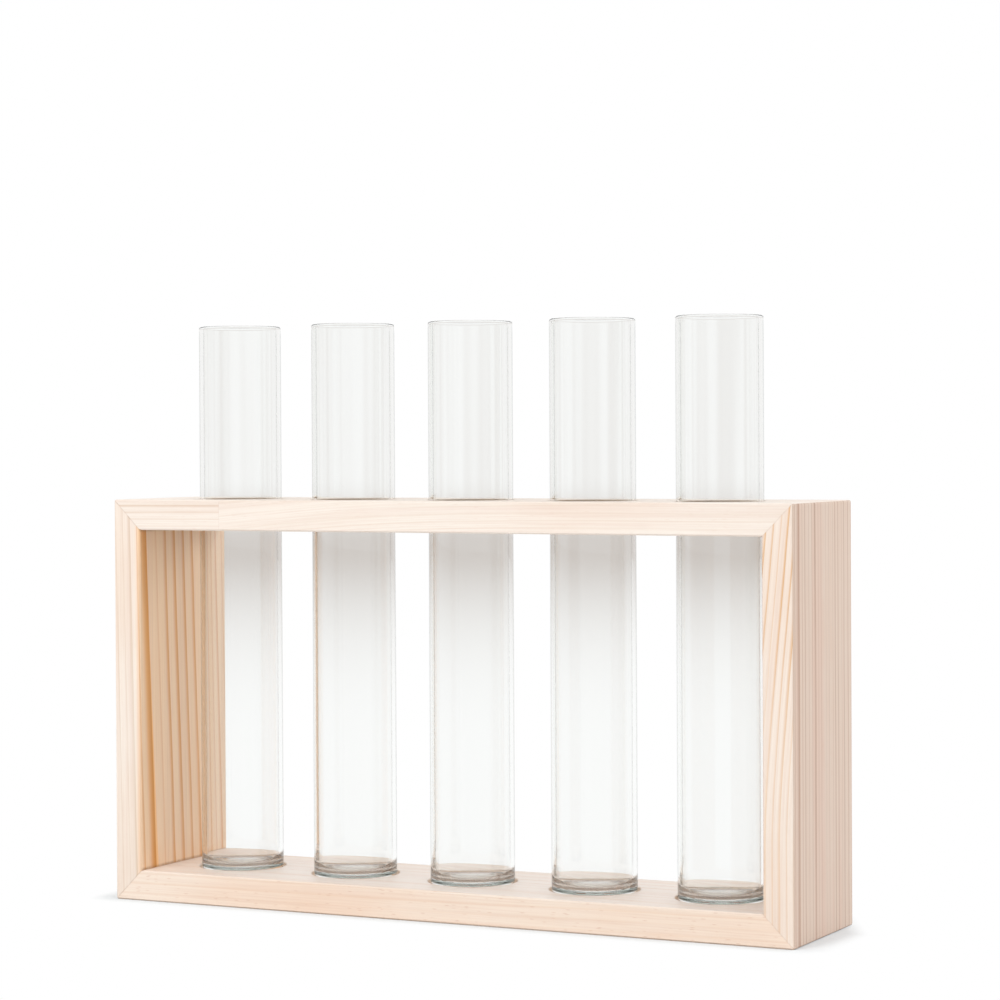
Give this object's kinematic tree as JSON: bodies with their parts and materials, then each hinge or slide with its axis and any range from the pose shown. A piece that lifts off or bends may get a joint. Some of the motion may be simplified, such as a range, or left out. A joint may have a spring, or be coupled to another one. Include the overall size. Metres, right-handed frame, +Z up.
{
  "type": "test tube vase",
  "caption": "Mitred pine frame with a drilled top rail that carries a row of loose flat-bottomed glass tubes for holding stems and cuttings in water.",
  "frame": {"origin": "middle of the underside of the bottom rail, where the vase stands", "axes": "+X along the row of tubes, to the right seen from the front; -Y is the front; +Z is up"},
  "size_m": [0.264, 0.056, 0.209],
  "materials": {
    "pine": "sanded, unfinished",
    "brad_steel": "bright wire",
    "clear_glass": "clear, fire-polished"
  },
  "bodies": {
    "frame": {"top_rail": "pine", "bottom_rail": "pine", "left_post": "pine", "right_post": "pine", "corner_brads": "brad_steel"},
    "tube_1": {"glass_tube_1": "clear_glass"},
    "tube_2": {"glass_tube_2": "clear_glass"},
    "tube_3": {"glass_tube_3": "clear_glass"},
    "tube_4": {"glass_tube_4": "clear_glass"},
    "tube_5": {"glass_tube_5": "clear_glass"}
  },
  "joints": [
    {"name": "tube_1_lift", "type": "slide", "parent": "frame", "child": "tube_1", "axis": [0, 0, 1], "range_m": [0, 0.145]},
    {"name": "tube_2_lift", "type": "slide", "parent": "frame", "child": "tube_2", "axis": [0, 0, 1], "range_m": [0, 0.145]},
    {"name": "tube_3_lift", "type": "slide", "parent": "frame", "child": "tube_3", "axis": [0, 0, 1], "range_m": [0, 0.145]},
    {"name": "tube_4_lift", "type": "slide", "parent": "frame", "child": "tube_4", "axis": [0, 0, 1], "range_m": [0, 0.145]},
    {"name": "tube_5_lift", "type": "slide", "parent": "frame", "child": "tube_5", "axis": [0, 0, 1], "range_m": [0, 0.145]}
  ]
}
